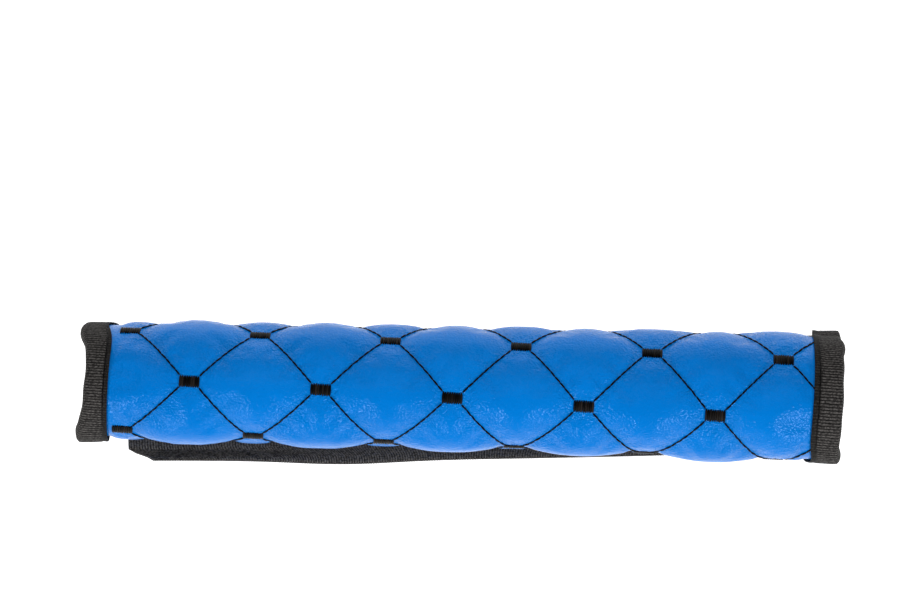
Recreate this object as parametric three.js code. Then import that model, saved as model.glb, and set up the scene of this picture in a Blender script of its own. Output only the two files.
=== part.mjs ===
// Shoulder pad for a car seat belt: a quilted leatherette panel over foam and a lining, rolled into a tube
// for the belt. Ribbed tape binds its edges, and a flap with hook and loop strips closes it underneath.
// Millimetres. X runs along the belt, +Y is the rear, and Z is up from the surface that the pad lies on.
import * as THREE from "three";

const { degToRad, lerp, smoothstep } = THREE.MathUtils;

// The rolled pad
const finishedLength = 296.5; // between the folds of the two end bindings
const rollSkew = degToRad(2.37); // the panel is rolled this much askew, so its rows run off the tube's line
const taper = 0.06; // the right end is rolled wider than the left by this share

// The section at the stitched valleys, as bends that follow each other from the top down each side
const tubeHeight = 30;
const topRadius = 24;
const frontShoulderTurn = degToRad(50);
const frontSideRadius = 13;
const frontHeelRadius = 10;
const rearShoulderTurn = degToRad(75);
const rearSideRadius = 16;
const rearHeelRadius = 7;
const seamBehind = 9.6; // the two long edges meet this far behind the middle, underneath
const seamGap = 2.4;

// The layers of the panel
const layerGap = 0.3; // between pieces that touch
const coverThickness = 1;
const foamAtStitch = 1.7; // what the stitching leaves of the foam
const liningThickness = 0.7;
const crownRise = 2.5; // how far a diamond swells above its stitching

// The quilting: diamonds with their long diagonal along the panel, and a bar tack at every corner
const diamondLength = 51.4;
const diamondWidth = 47.2;
const quiltStart = new THREE.Vector2(-4.3, 4.9); // the middle bar tack, from the middle of the panel
const barLength = 8;
const barWidth = 5;
const barRise = 0.65;
const barSeat = 0.45; // its underside, above the stitched valley
const barRimFall = 0.25; // the share of its rise that a bar loses at its rim
const barPinch = [0.55, 1.1]; // the cover lies flat, then swells, within these shares of a bar's size
const endRamp = 8; // the length over which it starts to swell, from the end tapes
const bandRamp = 8; // the width over which it starts to swell, from the closure's flat bands

// The bindings, the closing flap and its strips
const tapeThickness = 0.8;
const endTapeLeg = 10.4;
const sideTapeThickness = 0.7;
const sideTapeLeg = 6.5;
const puckerDepth = 2.1; // how far the end bindings bulge at the sides of the tube
const puckerRun = 32; // where they bulge, round the section from the top of the tube
const puckerSpread = 7;
const tuckWidth = 6; // an end tape is tucked in at the rear edge, which makes it as deep as the closure there
const tuckRamp = 7;
const loopThickness = 1;
const hookThickness = 1;
const stripWidth = 16;
const stripInset = 3; // from the front edge
const flapThickness = 1.2;
const flapReach = 38.8; // from the rear edge to the free edge, at mid length
const flapRoot = 6.5; // what is sewn to the rear edge
const flapBow = 1.2; // its free edge falls back this much towards the ends
const flapCorner = new THREE.Vector2(12, 6); // the cut of its corners, along and across

const blueLeatherette = new THREE.MeshStandardMaterial({ color: 0x0a78d2, roughness: 0.42, metalness: 0 });
const paleFoam = new THREE.MeshStandardMaterial({ color: 0xd9d6c8, roughness: 0.95, metalness: 0 });
const blackLining = new THREE.MeshStandardMaterial({ color: 0x1b1b1d, roughness: 0.9, metalness: 0 });
const ribbedTape = new THREE.MeshStandardMaterial({ color: 0x242425, roughness: 0.8, metalness: 0 });
const hookNylon = new THREE.MeshStandardMaterial({ color: 0x18181a, roughness: 0.6, metalness: 0 });
const loopPile = new THREE.MeshStandardMaterial({ color: 0x202022, roughness: 0.95, metalness: 0 });
const blackThread = new THREE.MeshStandardMaterial({ color: 0x101012, roughness: 0.55, metalness: 0 });

// Heights above the stitched valleys of the cover, outwards from the tube
const coverInside = -coverThickness;
const foamOutside = coverInside - layerGap;
const foamInside = foamOutside - foamAtStitch;
const liningOutside = foamInside - layerGap;
const liningInside = liningOutside - liningThickness;
const loopInside = layerGap + sideTapeThickness + layerGap;
const hookInside = loopInside + loopThickness + layerGap;
const flapInside = hookInside + hookThickness + layerGap;
const closureDepth = flapInside + flapThickness;

const frontBends = sideBends(frontShoulderTurn, frontSideRadius, frontHeelRadius);
const rearBends = sideBends(rearShoulderTurn, rearSideRadius, rearHeelRadius);
const frontRun = runOf(frontBends) + walk(frontBends, runOf(frontBends)).y + seamBehind - seamGap / 2;
const rearRun = runOf(rearBends) + walk(rearBends, runOf(rearBends)).y - seamBehind - seamGap / 2;

const skewCos = Math.cos(rollSkew);
const skewSin = Math.sin(rollSkew);
const halfWidth = ((frontRun + rearRun) * skewCos) / 2;
const middleRun = (rearRun - frontRun) / 2; // where the panel's middle lies, from the top of the tube
const halfCut = finishedLength / 2 - tapeThickness - layerGap; // half of the panel's cut length
const halfBlue = finishedLength / 2 - endTapeLeg; // half of the length between the end bindings
const frontBand = stripInset + stripWidth; // the cover lies flat where the closure is sewn to it
const rearBand = flapRoot;

const pad = new THREE.Group();
pad.name = "seat_belt_shoulder_pad";

const panelBox = new THREE.Box2(
  new THREE.Vector2(-halfCut, -halfWidth),
  new THREE.Vector2(halfCut, halfWidth),
);
// Lattice steps enough to cover the panel from its middle
const quiltReach = Math.ceil(finishedLength / diamondLength + (2 * halfWidth) / diamondWidth);
// Where each diamond is cut along its sides: close at the stitching, where the cover bends most
const fineQuilt = quiltSheet([0, 0.07, 0.28, 0.5, 0.72, 0.93, 1]);
const coarseQuilt = quiltSheet([0, 0.08, 0.34, 0.66, 0.92, 1]);
const plainPanel = gridSheet(panelBox, 8, 34);

addPiece("quilted_cover", blueLeatherette, {
  outer: fineQuilt,
  inner: coarseQuilt,
  outerRise: swell,
  innerRise: (u, v) => coverInside + swell(u, v),
});
addPiece("foam_padding", paleFoam, {
  outer: coarseQuilt,
  inner: plainPanel,
  outerRise: (u, v) => foamOutside + swell(u, v),
  innerRise: () => foamInside,
});
addPiece("lining", blackLining, {
  outer: plainPanel,
  inner: plainPanel,
  outerRise: () => liningOutside,
  innerRise: () => liningInside,
});
addEndBinding("end_binding_left", -1);
addEndBinding("end_binding_right", 1);
addSideBinding("edge_binding_front", -1);
addSideBinding("edge_binding_rear", 1);
addFlap();
addStrip("hook_strip", hookNylon, halfWidth + seamGap * skewCos + stripInset, hookInside, hookThickness);
addStrip("loop_strip", loopPile, -halfWidth + stripInset, loopInside, loopThickness);
addBarTacks();

// The origin is in the middle of the pad's box, on the surface that it lies on.
const bounds = new THREE.Box3().setFromObject(pad);
pad.position.set(-(bounds.min.x + bounds.max.x) / 2, -(bounds.min.y + bounds.max.y) / 2, -bounds.min.z);

export default pad;

// One side of the section: shoulder, side and heel, and a straight stretch where the heel is small.
function sideBends(shoulderTurn, sideRadius, heelRadius) {
  const fall = topRadius * (1 - Math.cos(shoulderTurn)) + sideRadius * Math.cos(shoulderTurn);
  const heel = Math.min(heelRadius, tubeHeight - fall);
  return [
    { radius: topRadius, turn: shoulderTurn },
    { radius: sideRadius, turn: Math.PI / 2 - shoulderTurn },
    { straight: tubeHeight - fall - heel },
    { radius: heel, turn: Math.PI / 2 },
  ];
}

function runOf(bends) {
  return bends.reduce((sum, bend) => sum + (bend.straight ?? bend.radius * bend.turn), 0);
}

// Follows the bends for a distance from the top of the tube, and goes straight on after the last one.
function walk(bends, distance) {
  let y = 0;
  let z = 0;
  let turn = 0;
  let rest = distance;
  for (const bend of bends) {
    const step = Math.min(rest, bend.straight ?? bend.radius * bend.turn);
    if (bend.straight === undefined) {
      const next = turn + step / bend.radius;
      y += bend.radius * (Math.sin(next) - Math.sin(turn));
      z += bend.radius * (Math.cos(next) - Math.cos(turn));
      turn = next;
    } else {
      y += step * Math.cos(turn);
      z -= step * Math.sin(turn);
    }
    rest -= step;
  }
  return { y: y + rest * Math.cos(turn), z: z - rest * Math.sin(turn), turn };
}

// Rolls a point of the flat panel into the tube: u along it, v across it to the rear, rise out of it.
function roll(u, v, rise) {
  const x = u * skewCos + v * skewSin;
  const run = middleRun - u * skewSin + v * skewCos;
  const { y, z, turn } = walk(run < 0 ? frontBends : rearBends, Math.abs(run));
  const widening = 1 + (taper * x) / finishedLength;
  const across = Math.sign(run) * (y + rise * Math.sin(turn));
  const up = closureDepth + tubeHeight + z + rise * Math.cos(turn);
  return new THREE.Vector3(x, across * widening, up * widening);
}

// A point of the flat panel in diamonds: each diamond is a unit square of these two.
function inDiamonds(u, v) {
  const along = (u - quiltStart.x) / diamondLength;
  const across = (v - quiltStart.y) / diamondWidth;
  return [along + across, along - across];
}

function fromDiamonds(a, b) {
  return [quiltStart.x + ((a + b) * diamondLength) / 2, quiltStart.y + ((a - b) * diamondWidth) / 2];
}

// How far the cover stands above its stitching: a dome on each diamond, flat at the bars and the edges.
function swell(u, v) {
  const [a, b] = inDiamonds(u, v);
  const dome = Math.sqrt(Math.abs(Math.sin(Math.PI * a) * Math.sin(Math.PI * b)));
  const [barU, barV] = fromDiamonds(Math.round(a), Math.round(b));
  const fromBar = Math.hypot((u - barU) / barLength, (v - barV) / barWidth);
  const atBar = smoothstep(fromBar, ...barPinch);
  const atEnd = smoothstep(halfBlue - Math.abs(u), 0, endRamp);
  const atFront = smoothstep(v + halfWidth, frontBand, frontBand + bandRamp);
  const atRear = smoothstep(halfWidth - v, rearBand, rearBand + bandRamp);
  return crownRise * dome * atBar * atEnd * atFront * atRear;
}

// The part of a convex polygon on one side of a limit, along u (axis 0) or v (axis 1).
function cutPolygon(polygon, axis, limit, keep) {
  const inside = (point) => keep * (point[axis] - limit) >= 0;
  return polygon.flatMap((from, index) => {
    const to = polygon[(index + 1) % polygon.length];
    const kept = inside(from) ? [from] : [];
    if (inside(from) === inside(to)) return kept;
    const share = (limit - from[axis]) / (to[axis] - from[axis]);
    const crossing = [lerp(from[0], to[0], share), lerp(from[1], to[1], share)];
    crossing[axis] = limit;
    return [...kept, crossing];
  });
}

// The flat panel as diamonds that are each cut by the same uneven grid, trimmed to the panel's edges.
function quiltSheet(shares) {
  const polygons = [];
  for (let i = -quiltReach; i < quiltReach; i++)
    for (let j = -quiltReach; j < quiltReach; j++)
      for (let p = 1; p < shares.length; p++)
        for (let q = 1; q < shares.length; q++) {
          const left = fromDiamonds(i + shares[p - 1], j + shares[q - 1]);
          const right = fromDiamonds(i + shares[p], j + shares[q]);
          polygons.push([left, fromDiamonds(i + shares[p - 1], j + shares[q]), right]);
          polygons.push([left, right, fromDiamonds(i + shares[p], j + shares[q - 1])]);
        }
  const tapeLines = [-halfBlue, halfBlue].map((limit) => [0, limit]);
  const bandLines = [frontBand - halfWidth, halfWidth - rearBand].map((limit) => [1, limit]);
  const split = (pieces, [axis, limit]) =>
    pieces.flatMap((piece) => [cutPolygon(piece, axis, limit, 1), cutPolygon(piece, axis, limit, -1)]);
  return weld([...tapeLines, ...bandLines].reduce(split, polygons.map(trimToPanel)), panelBox);
}

function trimToPanel(polygon) {
  const { min, max } = panelBox;
  const alongTrimmed = cutPolygon(cutPolygon(polygon, 0, min.x, 1), 0, max.x, -1);
  return cutPolygon(cutPolygon(alongTrimmed, 1, min.y, 1), 1, max.y, -1);
}

function gridSheet(box, columns, rows) {
  const corner = (i, j) => [
    lerp(box.min.x, box.max.x, i / columns),
    lerp(box.min.y, box.max.y, j / rows),
  ];
  const polygons = [];
  for (let i = 0; i < columns; i++)
    for (let j = 0; j < rows; j++)
      polygons.push([corner(i, j), corner(i + 1, j), corner(i + 1, j + 1), corner(i, j + 1)]);
  return weld(polygons, box);
}

// Joins polygons that fill a box into one flat mesh, with its rim in order round the box.
function weld(polygons, box) {
  const points = [];
  const triangles = [];
  const known = new Map();
  const step = 1e-4;
  const offset = 0.137; // keeps plain values off the limit between two steps, where rounding could part them
  const indexOf = (point) => {
    const key = point.map((value) => Math.round(value / step + offset)).join();
    if (!known.has(key)) known.set(key, points.push(point) - 1);
    return known.get(key);
  };
  for (const polygon of polygons) {
    const ring = polygon.map(indexOf).filter((index, k, all) => index !== all[(k + 1) % all.length]);
    for (let k = 2; k < ring.length; k++) triangles.push([ring[0], ring[k - 1], ring[k]]);
  }
  const rim = points
    .map((point, index) => ({ index, place: placeOnRim(point, box) }))
    .filter(({ place }) => place >= 0)
    .sort((one, other) => one.place - other.place);
  return { points, triangles, rim };
}

// How far round the box a point of its edge lies, as a share of each side in turn, or -1 inside it.
function placeOnRim([u, v], { min, max }) {
  const near = (one, other) => Math.abs(one - other) < 1e-4;
  if (near(v, min.y) && !near(u, max.x)) return (u - min.x) / (max.x - min.x);
  if (near(u, max.x) && !near(v, max.y)) return 1 + (v - min.y) / (max.y - min.y);
  if (near(v, max.y) && !near(u, min.x)) return 2 + (max.x - u) / (max.x - min.x);
  if (near(u, min.x)) return 3 + (max.y - v) / (max.y - min.y);
  return -1;
}

// A closed body between two flat meshes of the same box, each laid at its own rise.
function addPiece(name, material, { outer, inner, outerRise, innerRise, lay = roll }) {
  const vertices = [
    ...outer.points.map(([u, v]) => lay(u, v, outerRise(u, v))),
    ...inner.points.map(([u, v]) => lay(u, v, innerRise(u, v))),
  ];
  const below = outer.points.length;
  const faces = [
    ...outer.triangles,
    ...inner.triangles.map(([a, b, c]) => [below + a, below + c, below + b]),
  ];
  const top = [...outer.rim, { index: outer.rim[0].index, place: 4 }];
  const bottom = [...inner.rim, { index: inner.rim[0].index, place: 4 }];
  let i = 0;
  let j = 0;
  while (i < top.length - 1 || j < bottom.length - 1) {
    const here = [top[i].index, below + bottom[j].index];
    const stepTop =
      j === bottom.length - 1 || (i < top.length - 1 && top[i + 1].place <= bottom[j + 1].place);
    if (stepTop) faces.push([...here, top[++i].index]);
    else faces.push([...here, below + bottom[++j].index]);
  }
  addMesh(name, material, vertices, faces);
}

// A closed body whose profile is carried through a row of stations.
function addSweep(name, material, profile, stations, lay) {
  const vertices = stations.flatMap((station) => profile.map((point) => lay(point, station)));
  const faces = [];
  const size = profile.length;
  const last = (stations.length - 1) * size;
  for (let row = 0; row < last; row += size)
    for (let k = 0; k < size; k++) {
      const next = (k + 1) % size;
      faces.push([row + k, row + next, row + size + next], [row + k, row + size + next, row + size + k]);
    }
  const flipped = THREE.ShapeUtils.isClockWise(profile);
  for (const cap of THREE.ShapeUtils.triangulateShape(profile, [])) {
    const [a, b, c] = flipped ? cap.reverse() : cap;
    faces.push([a, c, b], [last + a, last + b, last + c]);
  }
  addMesh(name, material, vertices, faces);
}

function addMesh(name, material, vertices, faces) {
  const geometry = new THREE.BufferGeometry().setFromPoints(vertices);
  geometry.setIndex(faces.flat());
  geometry.computeVertexNormals();
  const mesh = new THREE.Mesh(geometry, material);
  mesh.name = name;
  pad.add(mesh);
}

// The outline of a tape folded over an edge: x from the fold onto the panel, y out of the tube.
function foldedTape(thickness, leg, legSteps) {
  const bevel = 1.5 * thickness;
  const outside = layerGap + thickness;
  const inside = liningInside - layerGap - thickness;
  const stretch = (from, to, rise) =>
    Array.from({ length: legSteps + 1 }, (_, k) => new THREE.Vector2(lerp(from, to, k / legSteps), rise));
  return [
    ...stretch(leg, thickness, layerGap),
    ...stretch(thickness, leg, liningInside - layerGap),
    ...stretch(leg, bevel, inside),
    new THREE.Vector2(0, inside + bevel),
    new THREE.Vector2(0, outside - bevel),
    ...stretch(bevel, leg, outside),
  ];
}

// The fold of an end binding bulges where the tube turns down at its sides.
function pucker(run) {
  return puckerDepth * Math.exp(-(((Math.abs(run) - puckerRun) / puckerSpread) ** 2));
}

function addEndBinding(name, end) {
  const halfTape = halfWidth + layerGap + sideTapeThickness;
  const outside = layerGap + tapeThickness;
  const steps = 36;
  const stations = Array.from({ length: steps + 1 }, (_, k) => lerp(-halfTape, halfTape, k / steps));
  const profile = foldedTape(tapeThickness, endTapeLeg, 1);
  if (end > 0) profile.reverse();
  addSweep(name, ribbedTape, profile, stations, (point, v) => {
    const atFold = 1 - smoothstep(point.x, 0, 3 * tapeThickness);
    const tucked = 1 - smoothstep(halfTape - v, tuckWidth, tuckWidth + tuckRamp);
    const rise = point.y === outside ? lerp(outside, closureDepth, tucked) : point.y;
    return roll(end * (finishedLength / 2 - point.x + pucker(middleRun + v) * atFold), v, rise);
  });
}

function addSideBinding(name, side) {
  const halfTape = halfBlue - layerGap;
  const steps = 12;
  const stations = Array.from({ length: steps + 1 }, (_, k) => lerp(-halfTape, halfTape, k / steps));
  const profile = foldedTape(sideTapeThickness, sideTapeLeg, 3);
  if (side < 0) profile.reverse();
  const fold = halfWidth + layerGap + sideTapeThickness;
  addSweep(name, ribbedTape, profile, stations, (point, u) => roll(u, side * (fold - point.x), point.y));
}

// The flap leaves the rear edge, drops to the surface and runs forward under the tube and out in front.
function addFlap() {
  const halfFlap = halfBlue - layerGap;
  const strip = new THREE.Box2(new THREE.Vector2(-1, -1), new THREE.Vector2(1, 1));
  const sheet = gridSheet(strip, 8, 14);
  const rootRise = loopInside;
  const dropStart = (flapRoot - seamGap) / (flapRoot + flapReach);
  const dropEnd = (flapRoot + stripInset) / (flapRoot + flapReach);
  const lay = (share, across, thickness) => {
    const bow = flapBow * share * share;
    const reach = lerp(-flapRoot, flapReach - bow, (across + 1) / 2);
    const corner = smoothstep(reach, flapReach - flapBow - flapCorner.y, flapReach - flapBow);
    const along = share * (halfFlap - flapCorner.x * corner);
    const drop = smoothstep((across + 1) / 2, dropStart, dropEnd);
    return roll(along, halfWidth + reach, lerp(rootRise, flapInside, drop) + thickness);
  };
  addPiece("closing_flap", ribbedTape, {
    outer: sheet,
    inner: sheet,
    outerRise: () => flapThickness,
    innerRise: () => 0,
    lay,
  });
}

function addStrip(name, material, start, inside, thickness) {
  const halfStrip = halfBlue - flapCorner.x;
  const box = new THREE.Box2(
    new THREE.Vector2(-halfStrip, start),
    new THREE.Vector2(halfStrip, start + stripWidth),
  );
  const sheet = gridSheet(box, 6, 7);
  addPiece(name, material, {
    outer: sheet,
    inner: sheet,
    outerRise: () => inside + thickness,
    innerRise: () => inside,
  });
}

// A bar of close stitches at every corner of the diamonds that no tape covers.
function addBarTacks() {
  const mostU = halfBlue - barLength / 2 - layerGap;
  const mostV = halfWidth - sideTapeLeg - barWidth / 2 - layerGap;
  let count = 0;
  for (let row = -quiltReach; row <= quiltReach; row++)
    for (let place = -quiltReach; place <= quiltReach; place++) {
      if ((row + place) % 2) continue;
      const [u, v] = fromDiamonds((place + row) / 2, (place - row) / 2);
      if (Math.abs(u) > mostU || Math.abs(v) > mostV) continue;
      addBarTack(`bar_tack_${String(++count).padStart(2, "0")}`, u, v);
    }
}

function addBarTack(name, u, v) {
  const half = new THREE.Vector2(barLength / 2, barWidth / 2);
  const middle = new THREE.Vector2(u, v);
  const box = new THREE.Box2(middle.clone().sub(half), middle.clone().add(half));
  const toRim = (x, y) => Math.max(Math.abs(x - u) / half.x, Math.abs(y - v) / half.y);
  addPiece(name, blackThread, {
    outer: gridSheet(box, 4, 4),
    inner: gridSheet(box, 1, 2),
    outerRise: (x, y) => barSeat + barRise * (1 - barRimFall * toRim(x, y) ** 4),
    innerRise: () => barSeat,
  });
}
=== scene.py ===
import itertools
import math

import bpy
import numpy as np
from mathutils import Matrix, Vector


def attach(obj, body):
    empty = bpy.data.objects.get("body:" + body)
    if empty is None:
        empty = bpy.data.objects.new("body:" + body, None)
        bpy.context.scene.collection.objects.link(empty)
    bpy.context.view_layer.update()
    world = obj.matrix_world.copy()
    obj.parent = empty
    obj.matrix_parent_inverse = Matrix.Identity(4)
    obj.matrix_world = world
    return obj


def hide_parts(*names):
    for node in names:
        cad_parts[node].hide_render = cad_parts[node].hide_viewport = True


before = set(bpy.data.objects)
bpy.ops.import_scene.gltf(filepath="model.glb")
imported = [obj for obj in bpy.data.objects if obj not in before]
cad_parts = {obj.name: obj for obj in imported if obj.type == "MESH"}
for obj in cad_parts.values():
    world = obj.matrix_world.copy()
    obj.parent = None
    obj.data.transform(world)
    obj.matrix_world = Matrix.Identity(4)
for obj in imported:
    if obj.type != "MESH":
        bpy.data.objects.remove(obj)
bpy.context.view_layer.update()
print("frame loaded")

# The rolled panel

# Millimetres, and the same values as the CAD part. u runs along the flat panel, v across it.
panel = {
    "finishedLength": 296.5,
    "rollSkew": math.radians(2.37),
    "taper": 0.06,
    "tubeHeight": 30,
    "topRadius": 24,
    "frontSide": (math.radians(50), 13, 10),  # shoulder turn, side radius, heel radius
    "rearSide": (math.radians(75), 16, 7),
    "seamBehind": 9.6,  # the closing seam lies this far behind the tube's middle
    "seamGap": 2.4,
    "closureDepth": 5.1,  # what the flap and the strips take up under the tube
    "endTapeLeg": 10.4,
    "endTape": 0.8,
    "sideTapeLeg": 6.5,
    "sideTape": 0.7,
    "layerGap": 0.3,
    "coverThickness": 1.0,
    "foamOutside": -1.3,  # heights from the cover's outside at a stitch
    "foamInside": -3.0,
    "liningThickness": 0.7,
    "frontBand": 19,  # the bands along the closure stay flat
    "rearBand": 6.5,
    "bandRamp": 8,  # how soon the padding swells beside a band or an end tape
    "endRamp": 8,
    "belly": (0.105, 30, 170),  # the front side swells towards the right end: share, from x, to x
    # The right tape presses the panel in at the rear: depth, then the run where it comes and where it goes
    "squeeze": (1.0, (4, 22), (34, 44)),
    "shift": (-0.288, 2.179, 0),  # to the row frame
}


def smooth(value, low, high):  # 0 below low, 1 above high, with an even bend between
    t = np.clip((value - low) / (high - low), 0, 1)
    return t * t * (3 - 2 * t)


def sideBends(shoulderTurn, sideRadius, heelRadius):
    # The section from its top down, each bend as radius, turn and straight length
    cosine = math.cos(shoulderTurn)
    fall = panel["topRadius"] * (1 - cosine) + sideRadius * cosine
    heel = min(heelRadius, panel["tubeHeight"] - fall)
    return [
        (panel["topRadius"], shoulderTurn, 0),
        (sideRadius, math.pi / 2 - shoulderTurn, 0),
        (0, 0, panel["tubeHeight"] - fall - heel),
        (heel, math.pi / 2, 0),
    ]


def walk(bends, distance):  # how far out, how high and how turned the section is at a distance from its top
    y, z, turn = (np.zeros_like(distance) for _ in range(3))
    rest = distance.copy()
    for radius, turned, straight in bends:
        step = np.minimum(rest, radius * turned + straight)
        if radius:
            after = turn + step / radius
            y += radius * (np.sin(after) - np.sin(turn))
            z += radius * (np.cos(after) - np.cos(turn))
            turn = after
        else:
            y += step * np.cos(turn)
            z -= step * np.sin(turn)
        rest = rest - step
    return y + rest * np.cos(turn), z - rest * np.sin(turn), turn


def runOf(bends):
    return sum(radius * turned + straight for radius, turned, straight in bends)


frontBends = sideBends(*panel["frontSide"])
rearBends = sideBends(*panel["rearSide"])
frontWalk = walk(frontBends, np.array([runOf(frontBends)]))[0][0]
rearWalk = walk(rearBends, np.array([runOf(rearBends)]))[0][0]
frontRun = runOf(frontBends) + frontWalk + panel["seamBehind"] - panel["seamGap"] / 2
rearRun = runOf(rearBends) + rearWalk - panel["seamBehind"] - panel["seamGap"] / 2
skewCos, skewSin = math.cos(panel["rollSkew"]), math.sin(panel["rollSkew"])
halfWidth = (frontRun + rearRun) * skewCos / 2
middleRun = (rearRun - frontRun) / 2
halfCut = panel["finishedLength"] / 2 - panel["endTape"] - panel["layerGap"]
halfBlue = panel["finishedLength"] / 2 - panel["endTapeLeg"]
liningOutside = panel["foamInside"] - panel["layerGap"]
liningInside = liningOutside - panel["liningThickness"]


def rollUp(points):  # (u, v, rise) in millimetres on the flat panel, to metres in the row frame
    u, v, rise = points[:, 0], points[:, 1], points[:, 2]
    x = u * skewCos + v * skewSin
    run = middleRun - u * skewSin + v * skewCos
    depth, come, leave = panel["squeeze"]
    atTape = smooth(u, halfBlue - 1, halfBlue + 3)
    rise = rise - depth * atTape * smooth(run, *come) * (1 - smooth(run, *leave))
    front, rear = walk(frontBends, np.abs(run)), walk(rearBends, np.abs(run))
    y, z, turn = (np.where(run < 0, a, b) for a, b in zip(front, rear))
    widening = 1 + panel["taper"] * x / panel["finishedLength"]
    share, low, high = panel["belly"]
    belly = np.where(run < 0, share * smooth(x, low, high) * np.maximum(y, 0), 0)
    across = np.sign(run) * ((y + rise * np.sin(turn)) * widening + belly)
    up = (panel["closureDepth"] + panel["tubeHeight"] + z + rise * np.cos(turn)) * widening
    return (np.stack([x, across, up], 1) + panel["shift"]) / 1000


# Mesh helpers


def coordsOf(piece):
    coords = np.zeros(len(piece.data.vertices) * 3)
    piece.data.vertices.foreach_get("co", coords)
    return coords.reshape(-1, 3)


def setCoords(piece, coords):
    piece.data.vertices.foreach_set("co", np.ascontiguousarray(coords, float).ravel())
    piece.data.update()


def flatGrid(name, columns, rows):  # a grid over the unit square, its points in rows
    bpy.ops.object.select_all(action="DESELECT")
    bpy.ops.mesh.primitive_grid_add(x_subdivisions=columns, y_subdivisions=rows, size=1)
    piece = bpy.context.object
    piece.name = piece.data.name = name
    setCoords(piece, coordsOf(piece) + [0.5, 0.5, 0])
    return piece


def writeShade(piece, name, values):  # one value a point, for the materials to read
    shade = piece.data.attributes.new(name, "FLOAT", "POINT")
    shade.data.foreach_set("value", np.ascontiguousarray(values, np.float32))


def selectOnly(piece):
    bpy.ops.object.select_all(action="DESELECT")
    piece.select_set(True)
    bpy.context.view_layer.objects.active = piece


def applyAll(piece):
    selectOnly(piece)
    for modifier in list(piece.modifiers):
        bpy.ops.object.modifier_apply(modifier=modifier.name)


def giveWall(piece, thickness, offset):
    wall = piece.modifiers.new("wall", "SOLIDIFY")
    wall.thickness = thickness
    wall.offset = offset
    wall.use_even_offset = True
    applyAll(piece)


def finishPiece(piece, material, nodes, angle=None):
    piece.data.materials.clear()
    piece.data.materials.append(material)
    selectOnly(piece)
    if angle:
        bpy.ops.object.shade_smooth_by_angle(angle=angle)
    else:
        bpy.ops.object.shade_smooth()
    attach(piece, "root")
    if nodes:
        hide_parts(*nodes)


def faceOutwards(piece):
    selectOnly(piece)
    bpy.ops.object.mode_set(mode="EDIT")
    bpy.ops.mesh.select_all(action="SELECT")
    bpy.ops.mesh.normals_make_consistent(inside=False)
    bpy.ops.object.mode_set(mode="OBJECT")


# Materials


def linear(code):  # an sRGB hex code as a linear colour
    def one(part):
        value = int(part, 16) / 255
        return value / 12.92 if value <= 0.04045 else ((value + 0.055) / 1.055) ** 2.4

    return (one(code[1:3]), one(code[3:5]), one(code[5:7]), 1)


def addNode(tree, kind, settings=None, inputs=None):
    node = tree.nodes.new(kind)
    for key, value in (settings or {}).items():
        setattr(node, key, value)
    for key, value in (inputs or {}).items():
        socket = node.inputs[key]
        if isinstance(value, bpy.types.NodeSocket):
            tree.links.new(value, socket)
        else:
            socket.default_value = value
    return node


def newMaterial(name):
    material = bpy.data.materials.new(name)
    material.use_nodes = True
    tree = material.node_tree
    return material, tree, tree.nodes["Principled BSDF"]


def join(tree, socket, value):
    tree.links.new(value, socket)


# Polyurethane leatherette: a blue film embossed with fine grain, so soft gloss broken into small lights
leatherLook = {
    "blue": "#0083E4",
    "deepBlue": "#0078D4",
    "gloss": "#A4CCFF",  # the film colours what it mirrors a little
    "specular": 0.27,
    "roughness": (0.13, 0.31),
    "cloud": 22,  # mm, the faint change between the two blues
    "grain": 0.9,  # mm
    "streak": 0.6,  # mm, the grain drawn out along the pad
    "crease": 1.5,  # mm, the puckers beside the stitching
    "grainBump": (0.75, 0.0004),  # strength, and depth in metres
    "streakBump": (0.5, 0.0003),
    "creaseBump": (0.45, 0.0009),
    "grainShare": (0.4, 1.6),  # out in the diamond, and beside the stitching
}


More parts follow.
